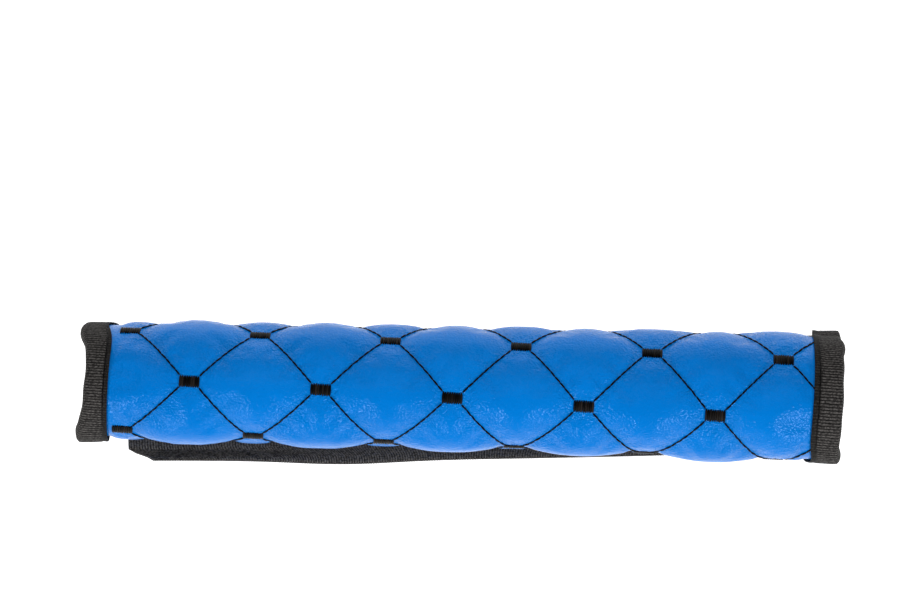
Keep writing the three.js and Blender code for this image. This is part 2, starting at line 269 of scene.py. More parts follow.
def makeLeatherette():
    material, tree, surface = newMaterial("blue_pu_leatherette")
    place = addNode(tree, "ShaderNodeTexCoord").outputs["Object"]
    drawn = addNode(tree, "ShaderNodeMapping", {}, {"Vector": place, "Scale": (0.4, 1, 1)}).outputs["Vector"]
    grain = addNode(tree, "ShaderNodeTexVoronoi", {}, {"Vector": place, "Scale": 1000 / leatherLook["grain"]})
    streak = addNode(tree, "ShaderNodeTexNoise", {},
                     {"Vector": drawn, "Scale": 1000 / leatherLook["streak"], "Detail": 2.0})
    crease = addNode(tree, "ShaderNodeTexNoise", {},
                     {"Vector": place, "Scale": 1000 / leatherLook["crease"], "Detail": 3.0})
    seam = addNode(tree, "ShaderNodeAttribute", {"attribute_name": "nearStitch"})
    creaseHeight = addNode(tree, "ShaderNodeMath", {"operation": "MULTIPLY"},
                           {0: crease.outputs["Fac"], 1: seam.outputs["Fac"]})
    cloud = addNode(tree, "ShaderNodeTexNoise", {},
                    {"Vector": place, "Scale": 1000 / leatherLook["cloud"], "Detail": 2.0})
    tone = addNode(tree, "ShaderNodeMix", {"data_type": "RGBA"},
                   {"Factor": cloud.outputs["Fac"],
                    "A": linear(leatherLook["blue"]), "B": linear(leatherLook["deepBlue"])})
    join(tree, surface.inputs["Base Color"], tone.outputs["Result"])
    leastRough, mostRough = leatherLook["roughness"]
    gloss = addNode(tree, "ShaderNodeMapRange", {},
                    {"Value": streak.outputs["Fac"], "To Min": leastRough, "To Max": mostRough})
    join(tree, surface.inputs["Roughness"], gloss.outputs["Result"])
    surface.inputs["Specular IOR Level"].default_value = leatherLook["specular"]
    surface.inputs["Specular Tint"].default_value = linear(leatherLook["gloss"])
    openShare, seamShare = leatherLook["grainShare"]
    grainShare = addNode(tree, "ShaderNodeMapRange", {},
                         {"Value": seam.outputs["Fac"], "To Min": openShare, "To Max": seamShare})
    grainHeight = addNode(tree, "ShaderNodeMath", {"operation": "MULTIPLY"},
                          {0: grain.outputs["Distance"], 1: grainShare.outputs["Result"]})
    bumps = (
        (grainHeight.outputs["Value"], leatherLook["grainBump"]),
        (streak.outputs["Fac"], leatherLook["streakBump"]),
        (creaseHeight.outputs["Value"], leatherLook["creaseBump"]),
    )
    normal = None
    for height, (strength, depth) in bumps:
        inputs = {"Strength": strength, "Distance": depth, "Height": height}
        if normal:
            inputs["Normal"] = normal
        normal = addNode(tree, "ShaderNodeBump", {}, inputs).outputs["Normal"]
    join(tree, surface.inputs["Normal"], normal)
    return material


# Polyester grosgrain tape, matt black: its ribs carry a painted highlight, the grooves between them painted
# shade, and the highlight is broken up along the filament as a painted sheen
tapeLook = {
    # The groove colour is painted shade and the lit rib colour a painted highlight
    "groove": "#030303",
    "litRib": "#6C6967",
    "twist": 0.5,  # mm
    "roughness": 0.7,
    "specular": 0.1,
}


def makeTape():
    material, tree, surface = newMaterial("black_polyester_rib_tape")
    place = addNode(tree, "ShaderNodeTexCoord").outputs["Object"]
    drawn = addNode(tree, "ShaderNodeMapping", {}, {"Vector": place, "Scale": (0.6, 1, 1)}).outputs["Vector"]
    twist = addNode(tree, "ShaderNodeTexNoise", {},
                    {"Vector": drawn, "Scale": 1000 / tapeLook["twist"], "Detail": 1.0})
    # The twist noise breaks the ribs' painted highlight into dashes of painted sheen
    broken = addNode(tree, "ShaderNodeMapRange", {},
                     {"Value": twist.outputs["Fac"], "From Min": 0.35, "From Max": 0.65, "To Min": 0.2})
    ribTop = addNode(tree, "ShaderNodeAttribute", {"attribute_name": "ribPaintedLight"})
    shown = addNode(tree, "ShaderNodeMath", {"operation": "MULTIPLY"},
                    {0: ribTop.outputs["Fac"], 1: broken.outputs["Result"]})
    tone = addNode(tree, "ShaderNodeMix", {"data_type": "RGBA"},
                   {"Factor": shown.outputs["Value"],
                    "A": linear(tapeLook["groove"]), "B": linear(tapeLook["litRib"])})
    join(tree, surface.inputs["Base Color"], tone.outputs["Result"])
    surface.inputs["Roughness"].default_value = tapeLook["roughness"]
    surface.inputs["Specular IOR Level"].default_value = tapeLook["specular"]
    bump = addNode(tree, "ShaderNodeBump", {},
                   {"Strength": 0.5, "Distance": 0.0002, "Height": twist.outputs["Fac"]})
    join(tree, surface.inputs["Normal"], bump.outputs["Normal"])
    return material


# Woven polyester lining: plain weave, nearly matt; its raised thread crossings are lighter and the hollows
# between them darker, painted light and shade
liningLook = {"dark": "#141415", "light": "#2C2C2E", "thread": 0.6, "roughness": 0.8}  # thread in mm


def makeLining():
    material, tree, surface = newMaterial("black_woven_polyester")
    place = addNode(tree, "ShaderNodeUVMap", {"uv_map": "cloth"}).outputs["UV"]
    bands = 1000 / liningLook["thread"] / math.tau
    warp, weft = (addNode(tree, "ShaderNodeTexWave", {"wave_type": "BANDS", "bands_direction": way},
                          {"Vector": place, "Scale": bands}) for way in "XY")
    weave = addNode(tree, "ShaderNodeMath", {"operation": "MULTIPLY"},
                    {0: warp.outputs["Fac"], 1: weft.outputs["Fac"]})
    tone = addNode(tree, "ShaderNodeMix", {"data_type": "RGBA"},
                   {"Factor": weave.outputs["Value"],
                    "A": linear(liningLook["dark"]), "B": linear(liningLook["light"])})
    join(tree, surface.inputs["Base Color"], tone.outputs["Result"])
    surface.inputs["Roughness"].default_value = liningLook["roughness"]
    bump = addNode(tree, "ShaderNodeBump", {},
                   {"Strength": 0.5, "Distance": 0.0002, "Height": weave.outputs["Value"]})
    join(tree, surface.inputs["Normal"], bump.outputs["Normal"])
    return material


# Open-cell polyurethane foam: pale, pitted, matt, with painted shade darkening the pits
foamLook = {"dark": "#B9B5A6", "light": "#E2DFD2", "cell": 0.7, "roughness": 0.95}  # cell in mm


def makeFoam():
    material, tree, surface = newMaterial("open_cell_foam")
    place = addNode(tree, "ShaderNodeTexCoord").outputs["Object"]
    cells = addNode(tree, "ShaderNodeTexVoronoi", {}, {"Vector": place, "Scale": 1000 / foamLook["cell"]})
    tone = addNode(tree, "ShaderNodeMix", {"data_type": "RGBA"},
                   {"Factor": cells.outputs["Distance"],
                    "A": linear(foamLook["dark"]), "B": linear(foamLook["light"])})
    join(tree, surface.inputs["Base Color"], tone.outputs["Result"])
    surface.inputs["Roughness"].default_value = foamLook["roughness"]
    bump = addNode(tree, "ShaderNodeBump", {},
                   {"Strength": 0.8, "Distance": 0.0005, "Height": cells.outputs["Distance"]})
    join(tree, surface.inputs["Normal"], bump.outputs["Normal"])
    return material


# Bonded polyester thread: smooth filament, black; the narrow satin light along each turn is a painted
# highlight on some threads
threadLook = {
    "dark": "#050506",
    "light": "#38312C",
    "fibre": 0.25,  # mm
    "roughness": 0.5,
    "specular": 0.12,
}


def makeThread():
    material, tree, surface = newMaterial("black_polyester_thread")
    place = addNode(tree, "ShaderNodeTexCoord").outputs["Object"]
    fibre = addNode(tree, "ShaderNodeTexNoise", {},
                    {"Vector": place, "Scale": 1000 / threadLook["fibre"], "Detail": 2.0})
    # How much painted highlight each thread gets
    lit = addNode(tree, "ShaderNodeAttribute", {"attribute_name": "threadHighlight"})
    share = addNode(tree, "ShaderNodeMath", {"operation": "MULTIPLY"},
                    {0: fibre.outputs["Fac"], 1: lit.outputs["Fac"]})
    tone = addNode(tree, "ShaderNodeMix", {"data_type": "RGBA"},
                   {"Factor": share.outputs["Value"],
                    "A": linear(threadLook["dark"]), "B": linear(threadLook["light"])})
    join(tree, surface.inputs["Base Color"], tone.outputs["Result"])
    surface.inputs["Roughness"].default_value = threadLook["roughness"]
    surface.inputs["Specular IOR Level"].default_value = threadLook["specular"]
    bump = addNode(tree, "ShaderNodeBump", {},
                   {"Strength": 0.4, "Distance": 0.0001, "Height": fibre.outputs["Fac"]})
    join(tree, surface.inputs["Normal"], bump.outputs["Normal"])
    return material


# Moulded nylon hooks on a tape: rows of tiny glossy specks, each hook's raised top lighter with a painted
# highlight
hookLook = {"dark": "#101011", "light": "#2A2A2C", "pitch": 1.4, "roughness": 0.45}  # pitch in mm


def makeHooks():
    material, tree, surface = newMaterial("moulded_nylon_hooks")
    place = addNode(tree, "ShaderNodeTexCoord").outputs["Object"]
    spots = addNode(tree, "ShaderNodeTexVoronoi", {},
                    {"Vector": place, "Scale": 1000 / hookLook["pitch"], "Randomness": 0.3})
    tone = addNode(tree, "ShaderNodeMix", {"data_type": "RGBA"},
                   {"Factor": spots.outputs["Distance"],
                    "A": linear(hookLook["light"]), "B": linear(hookLook["dark"])})
    join(tree, surface.inputs["Base Color"], tone.outputs["Result"])
    surface.inputs["Roughness"].default_value = hookLook["roughness"]
    bump = addNode(tree, "ShaderNodeBump", {"invert": True},
                   {"Strength": 1.0, "Distance": 0.0008, "Height": spots.outputs["Distance"]})
    join(tree, surface.inputs["Normal"], bump.outputs["Normal"])
    return material


# Brushed nylon loops: a soft dark pile
loopLook = {"dark": "#0F0F10", "light": "#38383A", "pile": 0.8, "roughness": 0.95, "sheen": 0.4}  # pile in mm


def makeLoops():
    material, tree, surface = newMaterial("brushed_nylon_loops")
    place = addNode(tree, "ShaderNodeTexCoord").outputs["Object"]
    pile = addNode(tree, "ShaderNodeTexNoise", {},
                   {"Vector": place, "Scale": 1000 / loopLook["pile"], "Detail": 6.0, "Roughness": 0.8})
    tone = addNode(tree, "ShaderNodeMix", {"data_type": "RGBA"},
                   {"Factor": pile.outputs["Fac"],
                    "A": linear(loopLook["dark"]), "B": linear(loopLook["light"])})
    join(tree, surface.inputs["Base Color"], tone.outputs["Result"])
    surface.inputs["Roughness"].default_value = loopLook["roughness"]
    surface.inputs["Sheen Weight"].default_value = loopLook["sheen"]
    bump = addNode(tree, "ShaderNodeBump", {},
                   {"Strength": 1.0, "Distance": 0.0006, "Height": pile.outputs["Fac"]})
    join(tree, surface.inputs["Normal"], bump.outputs["Normal"])
    return material


leatherette, tape, liningWeave, foam = makeLeatherette(), makeTape(), makeLining(), makeFoam()
thread, hooks, loops = makeThread(), makeHooks(), makeLoops()
print("materials made")

# The quilting

quilt = {
    "diamondLength": 51.4,
    "diamondWidth": 47.2,
    "start": (-4.3, 4.9),
    "barLength": 8.0,
    "barWidth": 5.0,
    "reach": 5,  # diamonds from the start to each side, enough to cover the panel
    "cells": 32,  # mesh cells along one side of a diamond
    "crown": 2.5,
    "lineLift": 0.3,  # how far the foam lifts a stitched line half way between its bars
    "pucker": 4,  # how far the creases reach from a stitched line
    "foamShare": 0.7,  # the foam's swell as a share of the cover's
}
halfLong, halfHigh = quilt["diamondLength"] / 2, quilt["diamondWidth"] / 2
# The stitched lines run from bar corner to bar corner, a little steeper than the lattice.
lineSkew = (halfHigh - quilt["barWidth"]) * halfLong / (halfLong - quilt["barLength"]) - halfHigh


def inDiamonds(u, v):  # lattice coordinates, whole numbers on the stitched lines
    along = (u - quilt["start"][0]) / quilt["diamondLength"]
    across = (v - quilt["start"][1]) / quilt["diamondWidth"]
    return along + across, along - across


def fromDiamonds(a, b):
    return quilt["start"][0] + (a + b) * halfLong, quilt["start"][1] + (a - b) * halfHigh


def lineShift(t):  # how far a stitched line leaves the lattice's own, at a share of its length
    barShare = quilt["barLength"] / 2 / halfLong
    return lineSkew * (t - 0.5) * smooth(t, 0, barShare) * smooth(1 - t, 0, barShare)


def steepen(a, b, v):  # moves the mesh so that its lattice lines lie under the stitches
    ta, tb = a - np.floor(a), b - np.floor(b)
    return v + lineShift(ta) * (1 - np.sin(np.pi * tb)) - lineShift(tb) * (1 - np.sin(np.pi * ta))


def atBars(a, b, u, v):
    barU, barV = fromDiamonds(np.round(a), np.round(b))
    return (np.abs(u - barU) <= quilt["barLength"] / 2) & (np.abs(v - barV) <= quilt["barWidth"] / 2)


# The end bindings by end, -1 left and 1 right; a trim, flare or lift is an amount, its run and its spread
binding = {
    "legShift": {-1: -0.9, 1: 1.5},  # how much longer the outer leg is
    "trim": {-1: (-3.4, 33, 9), 1: (-2.0, -28, 9)},
    "flares": {-1: ((4.5, 29, 11), (3.5, -27, 12)), 1: ((0.6, 27, 4), (2.2, -29, 8))},
    "lift": {-1: (1.9, -30, 9), 1: (0.5, -30, 9)},
    "tuckWidth": 6,
    "tuckRamp": 7,
    "smoothBand": 2.8,  # the flattened strip beside the seam
    "pressedShare": 0.25,  # what is left of the ribs on it
    # The painted highlight left on the flattened ribs beside the seam
    "pressedRibLight": 0.12,
    "seamIn": 1.9,
    "groove": (0.22, 0.45),  # the seam's depth and half its width
    "waves": (0.25, 3.1, 7.3),  # the fold's small unevenness: height and the two lengths
}


def flatZones(u, v):  # 1 where the cover may swell, 0 under the tapes and on the bands of the closure
    atEnd = smooth(halfBlue - np.where(u > 0, binding["legShift"][1], 0) - np.abs(u), 0, panel["endRamp"])
    atFront = smooth(v + halfWidth - panel["frontBand"], 0, panel["bandRamp"])
    atRear = smooth(halfWidth - v - panel["rearBand"], 0, panel["bandRamp"])
    return atEnd * atFront * atRear


def analyticSwell(a, b, u, v):  # the crowns by formula
    dome = np.sqrt(np.abs(np.sin(np.pi * a) * np.sin(np.pi * b)))
    return quilt["crown"] * dome * flatZones(u, v)


def heldRise(a, b, u, v):  # the height of the stitched lines
    ta, tb = np.abs(a - np.round(a)), np.abs(b - np.round(b))
    t = np.maximum(ta, tb) * 2
    return quilt["lineLift"] * np.sin(np.pi / 2 * np.clip(t, 0, 1)) * flatZones(u, v)


cloth = {
    "pressure": 1.2,
    "slack": -0.018,  # the sheet grows by this share, as film pulled over foam stretches
    "stiffness": 8.0,
    "bending": 0.3,
    "frames": 20,
    "scale": 0.01,  # metres in the simulation for each millimetre
    "startShare": 0.3,  # of the crowns by formula
    "drift": 1.0,  # mm, the most that a point may move sideways
    "cap": 3.2,  # mm, the most that it may rise
    "ease": 1,  # rounds of smoothing
}


def trimSheet(piece):  # cuts the sheet to the panel's rectangle
    bpy.ops.object.mode_set(mode="EDIT")
    for middle, normal in (
        ((-halfCut, 0, 0), (-1, 0, 0)),
        ((halfCut, 0, 0), (1, 0, 0)),
        ((0, -halfWidth, 0), (0, -1, 0)),
        ((0, halfWidth, 0), (0, 1, 0)),
    ):
        bpy.ops.mesh.select_all(action="SELECT")
        bpy.ops.mesh.bisect(plane_co=middle, plane_no=normal, clear_outer=True, threshold=0.001)
    bpy.ops.mesh.select_all(action="SELECT")
    bpy.ops.mesh.remove_doubles(threshold=0.02)
    bpy.ops.object.mode_set(mode="OBJECT")


def makeCover():
    side = 2 * quilt["reach"] * quilt["cells"]
    cover = flatGrid("quiltedCover", side, side)
    unit = coordsOf(cover)
    a, b = (unit[:, 0] * 2 - 1) * quilt["reach"], (unit[:, 1] * 2 - 1) * quilt["reach"]
    u, v = fromDiamonds(a, b)
    setCoords(cover, np.stack([u, v, np.zeros_like(u)], 1))
    trimSheet(cover)
    cover.data.flip_normals()  # the lattice mirrors the grid, so its faces looked down
    flat = coordsOf(cover)
    u, v = flat[:, 0], flat[:, 1]
    a, b = inDiamonds(u, v)
    onLine = (np.abs(a - np.round(a)) < 1e-3) | (np.abs(b - np.round(b)) < 1e-3)
    edge = (np.abs(np.abs(u) - halfCut) < 1e-3) | (np.abs(np.abs(v) - halfWidth) < 1e-3)
    v = np.where(edge, v, steepen(a, b, v))
    held = onLine | atBars(a, b, u, v) | (flatZones(u, v) <= 0) | edge
    rise, swell = heldRise(a, b, u, v), analyticSwell(a, b, u, v)
    start = np.stack([u, v, np.where(held, rise, swell * cloth["startShare"])], 1)
    setCoords(cover, start * cloth["scale"])
    inflate(cover, np.flatnonzero(held))
    after = coordsOf(cover) / cloth["scale"]
    after[:, :2] = start[:, :2] + np.clip((after - start)[:, :2], -cloth["drift"], cloth["drift"])
    after[:, 2] = np.clip(after[:, 2], 0, cloth["cap"])
    setCoords(cover, after)
    print("cover swells to", round(float(after[:, 2].max()), 2), "mm")
    return cover, np.exp(-stitchDistance(a, b) / quilt["pucker"]) * flatZones(u, v)


def stitchDistance(a, b):  # millimetres to the nearest line of the lattice
    side = math.hypot(halfLong, halfHigh)
    sine = 2 * halfLong * halfHigh / side**2
    return np.minimum(np.abs(a - np.round(a)), np.abs(b - np.round(b))) * side * sine


def inflate(piece, held):  # blows the sheet up from the foam's side, its held points kept
    group = piece.vertex_groups.new(name="held")
    group.add([int(i) for i in held], 1.0, "REPLACE")
    modifier = piece.modifiers.new("cloth", "CLOTH")
    settings = modifier.settings
    settings.quality = 5
    settings.mass = 0.3
    settings.tension_stiffness = settings.compression_stiffness = cloth["stiffness"]
    settings.shear_stiffness = cloth["stiffness"] / 2
    settings.bending_stiffness = cloth["bending"]
    settings.air_damping = 1.0
    settings.use_pressure = True
    settings.uniform_pressure_force = cloth["pressure"]
    settings.shrink_min = cloth["slack"]
    settings.vertex_group_mass = "held"
    settings.effector_weights.gravity = 0
    modifier.collision_settings.use_collision = False
    modifier.point_cache.frame_start = 1
    modifier.point_cache.frame_end = cloth["frames"]
    for step in range(1, cloth["frames"] + 1):
        bpy.context.scene.frame_set(step)
    applyAll(piece)
    bpy.context.scene.frame_set(1)
    ease = piece.modifiers.new("ease", "SMOOTH")  # the padding fills the smallest wrinkles
    ease.factor, ease.iterations = 0.5, cloth["ease"]
    ease.vertex_group, ease.invert_vertex_group = "held", True
    applyAll(piece)


cover, nearStitch = makeCover()
writeShade(cover, "nearStitch", nearStitch)
setCoords(cover, coordsOf(cover) / 1000)
giveWall(cover, panel["coverThickness"] / 1000, -1)
setCoords(cover, rollUp(coordsOf(cover) * 1000))
finishPiece(cover, leatherette, ["quilted_cover"])
print("cover quilted")


def flatLayer(name, columns, rows, thickness):  # a layer as wide and long as the panel, its outside at 0
    piece = flatGrid(name, columns, rows)
    unit = coordsOf(piece)
    u, v = (unit[:, 0] * 2 - 1) * halfCut, (unit[:, 1] * 2 - 1) * halfWidth
    setCoords(piece, np.stack([u, v, unit[:, 2]], 1) / 1000)
    giveWall(piece, thickness / 1000, -1)
    return piece


# The foam under the cover, which the stitching presses down
foamAtStitch = panel["foamOutside"] - panel["foamInside"]
foamSheet = flatLayer("foamPadding", 150, 62, foamAtStitch)
points = coordsOf(foamSheet) * 1000
u, v = points[:, 0], points[:, 1]
swell = analyticSwell(*inDiamonds(u, v), u, v) * quilt["foamShare"]
isOutside = points[:, 2] > -foamAtStitch / 2
points[:, 2] = np.where(isOutside, panel["foamOutside"] + swell, panel["foamInside"])
setCoords(foamSheet, rollUp(points))
finishPiece(foamSheet, foam, ["foam_padding"])

# The lining that faces the belt
lining = flatLayer("liningCloth", 90, 122, panel["liningThickness"])
lining.data.uv_layers[0].name = "cloth"
points = coordsOf(lining) * 1000 + [0, 0, liningOutside]
layer = lining.data.uv_layers["cloth"]
loopVertices = np.zeros(len(lining.data.loops), int)
lining.data.loops.foreach_get("vertex_index", loopVertices)
layer.data.foreach_set("uv", (points[loopVertices, :2] / 1000).ravel())
setCoords(lining, rollUp(points))
finishPiece(lining, liningWeave, ["lining"])
print("foam and lining laid")

# The tapes

# The ribs' shape, and how narrow the painted highlight on each rib is beside the painted shade in its grooves
ribs = {"pitch": 1.1, "height": 0.2, "samples": 4, "round": 0.7, "grooveShadeSharpness": 3}


def ribRise(distance):  # round ribs with narrow grooves between, about the tape's own middle
    return ribs["height"] * (np.abs(np.sin(np.pi * distance / ribs["pitch"])) ** ribs["round"] - 0.5)


def ribHighlight(distance):  # painted light: 0 for painted shade in the grooves, 1 for a painted highlight on the ribs
    return np.abs(np.sin(np.pi * distance / ribs["pitch"])) ** ribs["grooveShadeSharpness"]


def tapeGrid(name, halfTape, rows):  # a flat tape, with a few points across each rib
    return flatGrid(name, int(2 * halfTape / ribs["pitch"] * ribs["samples"]), rows)


def finishTape(piece, points, thickness, shade, node):
    setCoords(piece, points / 1000)
    # The ribs' painted highlight and the grooves' painted shade, for the tape's material
    writeShade(piece, "ribPaintedLight", shade)
    giveWall(piece, (thickness - ribs["height"] / 2) / 1000, 0)
    setCoords(piece, rollUp(coordsOf(piece) * 1000))
    faceOutwards(piece)
    finishPiece(piece, tape, [node])


def lengthAlong(path):
    return np.concatenate([[0], np.cumsum(np.hypot(*np.diff(path, axis=0).T))])


def alongPath(path, share):  # the x and the rise at a share of a path's length
    length = lengthAlong(path)
    return (np.interp(share * length[-1], length, path[:, k]) for k in range(2))


def foldPath(thickness, leg):  # the middle of a tape folded over the panel's edge, outer leg last
    outside = panel["layerGap"] + thickness / 2
    inside = liningInside - panel["layerGap"] - thickness / 2
    middle, radius = (outside + inside) / 2, (outside - inside) / 2
    bulge, steps = 1.2, 12
    bend = [
        (thickness / 2 + bulge - bulge * math.sin(turn), middle - radius * math.cos(turn))
        for turn in (k * math.pi / steps for k in range(steps + 1))
    ]
    return np.array([(leg, inside), *bend, (leg, outside)])


def outwardOf(share, bend):  # which way a folded tape's outside faces: -1 on its inner leg, 1 on its outer
    return np.where(share > 0.5, 1, -1) * smooth(np.abs(share - 0.5), 0, bend)


def bump(run, amount, middle, spread):  # a soft swell round one place
    return amount * np.exp(-(((run - middle) / spread) ** 2))


def endRun(end, v):  # the distance round the tube at which v meets the panel's end
    return middleRun - end * panel["finishedLength"] / 2 * skewSin + v * skewCos


def legStretch(end, v):  # the tape lies a little unevenly, so its outer leg isn't the same at both ends
    run = endRun(end, v)
    shift = binding["legShift"][end] + bump(run, *binding["trim"][end])
    return 1 + shift / panel["endTapeLeg"] * (1 - smooth(np.abs(run), 36, 46))


def makeEndBinding(name, node, end):
    halfTape = halfWidth + panel["layerGap"] + panel["sideTape"]
    piece = tapeGrid(name, halfTape, 34)
    along, across = coordsOf(piece)[:, :2].T
    v = (along * 2 - 1) * halfTape
    run, rib = endRun(end, v), ribRise(v)
    path = foldPath(panel["endTape"], panel["endTapeLeg"])
    x, rise = alongPath(path, across)
    # The seam lies in a groove, with the ribs pressed flat beside it
    fromSeam = panel["endTapeLeg"] - x
    free = smooth(fromSeam, binding["smoothBand"] - 1, binding["smoothBand"])
    ribShare = binding["pressedShare"] + (1 - binding["pressedShare"]) * free
    grooveDepth, grooveWidth = binding["groove"]
    groove = bump(fromSeam, grooveDepth, binding["seamIn"], grooveWidth)
    rise = rise + outwardOf(across, 0.08) * (rib * ribShare - groove)
    # The outer leg is tucked under at the rear and lifts a little at the front
    outerLeg = smooth(across, 0.5, 0.62)
    tucked = 1 - smooth(halfTape - v, binding["tuckWidth"], binding["tuckWidth"] + binding["tuckRamp"])
    rise = rise + tucked * outerLeg * (panel["closureDepth"] - panel["layerGap"] - panel["endTape"])
    rise = rise + outerLeg * bump(run, *binding["lift"][end]) * (1 - 0.3 * smooth(x, 0, panel["endTapeLeg"]))
    # The fold flares at the corners and isn't quite even
    height, short, long = binding["waves"]
    waves = height * np.sin(v / short + end) * np.sin(v / long + 2 * end)
    flares = sum(bump(run, *flare) for flare in binding["flares"][end])
    out = (flares + rib + waves) * (1 - smooth(x, 0, 6 * panel["endTape"]))
    stretch = 1 + (legStretch(end, v) - 1) * outerLeg
    u = end * (panel["finishedLength"] / 2 - x * stretch + out)
    # The ribs get a painted highlight and painted shade, with less highlight where they are pressed flat
    shade = binding["pressedRibLight"] + (ribHighlight(v) - binding["pressedRibLight"]) * ribShare
    finishTape(piece, np.stack([u, v, rise], 1), panel["endTape"], shade, node)


makeEndBinding("endBindingLeft", "end_binding_left", -1)
makeEndBinding("endBindingRight", "end_binding_right", 1)


def makeEdgeBinding(name, node, side):
    halfTape = halfBlue - panel["layerGap"]
    piece = tapeGrid(name, halfTape, 22)
    along, across = coordsOf(piece)[:, :2].T
    u = (along * 2 - 1) * halfTape
    path = foldPath(panel["sideTape"], panel["sideTapeLeg"])
    x, rise = alongPath(path, across)
    rise = rise + outwardOf(across, 0.1) * ribRise(u) * 0.4
    fold = halfWidth + panel["layerGap"] + panel["sideTape"]
    finishTape(piece, np.stack([u, side * (fold - x), rise], 1), panel["sideTape"], ribHighlight(u), node)


makeEdgeBinding("edgeBindingFront", "edge_binding_front", -1)
makeEdgeBinding("edgeBindingRear", "edge_binding_rear", 1)
print("edges bound")

flap = {
    "thickness": 1.2,
    "reach": 38.8,
    "root": 6.5,
    "rootRise": 1.3,
    "rise": 3.9,
    "drop": (-2.4, 3),  # where the flap steps from one rise to the other, from its root
    "bow": 1.2,
    "bulge": (1.5, -0.4, 0.22),  # of the free edge: amount, then place and spread as shares of half the flap
    "corner": (10, 5),
    "ribShare": 0.6,
    "tone": (0.3, 1.5),  # painted light: the level in the grooves, raised to lift the tube's shadow off the flap, and the painted highlight that the ribs add
}


def makeFlap():
    halfFlap = halfBlue - panel["layerGap"]
    piece = tapeGrid("closingFlap", halfFlap, 28)
    along, across = coordsOf(piece)[:, :2].T
    share, whole = along * 2 - 1, flap["root"] + flap["reach"]
    reach = -flap["root"] + across * (whole - flap["bow"] * share**2 + bump(share, *flap["bulge"]))
    cutAlong, cutAcross = flap["corner"]
    leastReach = flap["reach"] - flap["bow"]
    u = share * (halfFlap - cutAlong * smooth(reach, leastReach - cutAcross, leastReach))
    rib = ribRise(share * halfFlap)
    reach = reach + rib * smooth(across, 0.9, 1)
    dropFrom, dropTo = flap["drop"]
    drop = smooth(across * whole, flap["root"] + dropFrom, flap["root"] + dropTo)
    rise = flap["rootRise"] + (flap["rise"] - flap["rootRise"]) * drop
    rise = rise + flap["thickness"] / 2 + rib * flap["ribShare"]
    # Painted light: the grooves are lifted out of the tube's shadow and the ribs get a painted highlight
    grooveLight, ribLightAdded = flap["tone"]
    shade = grooveLight + ribLightAdded * ribHighlight(share * halfFlap)
    finishTape(piece, np.stack([u, halfWidth + reach, rise], 1), flap["thickness"], shade, "closing_flap")


makeFlap()


strip = {"width": 16, "thickness": 1, "inset": 3, "hookRise": 2.6, "loopRise": 1.3}


def makeStrip(name, node, material, start, inside):
    halfStrip = halfBlue - flap["corner"][0]
    piece = flatGrid(name, 120, 12)
    along, across = coordsOf(piece)[:, :2].T
    u, v = (along * 2 - 1) * halfStrip, start + strip["inset"] + across * strip["width"]
    setCoords(piece, np.stack([u, v, np.full_like(u, inside + strip["thickness"] / 2)], 1) / 1000)
    giveWall(piece, strip["thickness"] / 1000, 0)
    setCoords(piece, rollUp(coordsOf(piece) * 1000))
    finishPiece(piece, material, [node], angle=math.radians(40))


hookStart = halfWidth + panel["seamGap"] * skewCos
makeStrip("hookStrip", "hook_strip", hooks, hookStart, strip["hookRise"])
makeStrip("loopStrip", "loop_strip", loops, -halfWidth, strip["loopRise"])
print("flap and closure laid")

# The thread

stitch = {
    "length": 2.9,
    "lap": 0.3,  # how far one stitch runs into the next
    "radius": 0.38,
    "seamRadius": 0.24,
    "wander": 0.16,
    "stand": 0.6,  # radii, how high a stitch stands
    "sink": 0.5,  # radii, how far its ends go down
}
draw = np.random.default_rng(7)


def stitchShape():  # one stitch: a slim bead along X, its ends turned down into the cover
    bpy.ops.object.select_all(action="DESELECT")
    bpy.ops.mesh.primitive_uv_sphere_add(segments=8, ring_count=6, radius=1)
    shape = bpy.context.object
    points = coordsOf(shape)[:, [2, 0, 1]]
    faces = [tuple(p.vertices) for p in shape.data.polygons]
    bpy.data.objects.remove(shape)
    points[:, 0] = np.sign(points[:, 0]) * np.abs(points[:, 0]) ** 0.6
    return points, faces


def meshFrom(name, points, faces):
    mesh = bpy.data.meshes.new(name)
    mesh.from_pydata(points.tolist(), [], faces)
    mesh.update()
    piece = bpy.data.objects.new(name, mesh)
    bpy.context.scene.collection.objects.link(piece)
    return piece


def repeatShape(name, points, faces, places):  # places: one array of moved points for each copy
    count = len(points)
    allFaces = [tuple(i + k * count for i in face) for k in range(len(places)) for face in faces]
    return meshFrom(name, np.concatenate(places), allFaces)


def quiltLines():  # the stitched lines on the panel, as arrays of (u, v, rise)
    lines = []
    reach = range(-quilt["reach"], quilt["reach"] + 1)
    for i, j, (stepA, stepB) in itertools.product(reach, reach, ((1, 0), (0, 1))):
        t = np.linspace(0, 1, 60)
        a, b = i + stepA * t, j + stepB * t
        u, v = fromDiamonds(a, b)
        v = v + lineShift(t) * (1 if stepA else -1)
        rise = quilt["lineLift"] * np.sin(np.pi * t) * flatZones(u, v)
        barU, barV = fromDiamonds(np.round(a), np.round(b))
        pastLength = np.abs(u - barU) > quilt["barLength"] / 2 - stitch["lap"]
        pastWidth = np.abs(v - barV) > quilt["barWidth"] / 2 - stitch["lap"]
        inside = (np.abs(u) < halfBlue) & (np.abs(v) < halfWidth - panel["sideTapeLeg"])
        keep = (pastLength | pastWidth) & inside
        if keep.sum() > 3:
            lines.append(np.stack([u, v, rise], 1)[keep])
    return lines


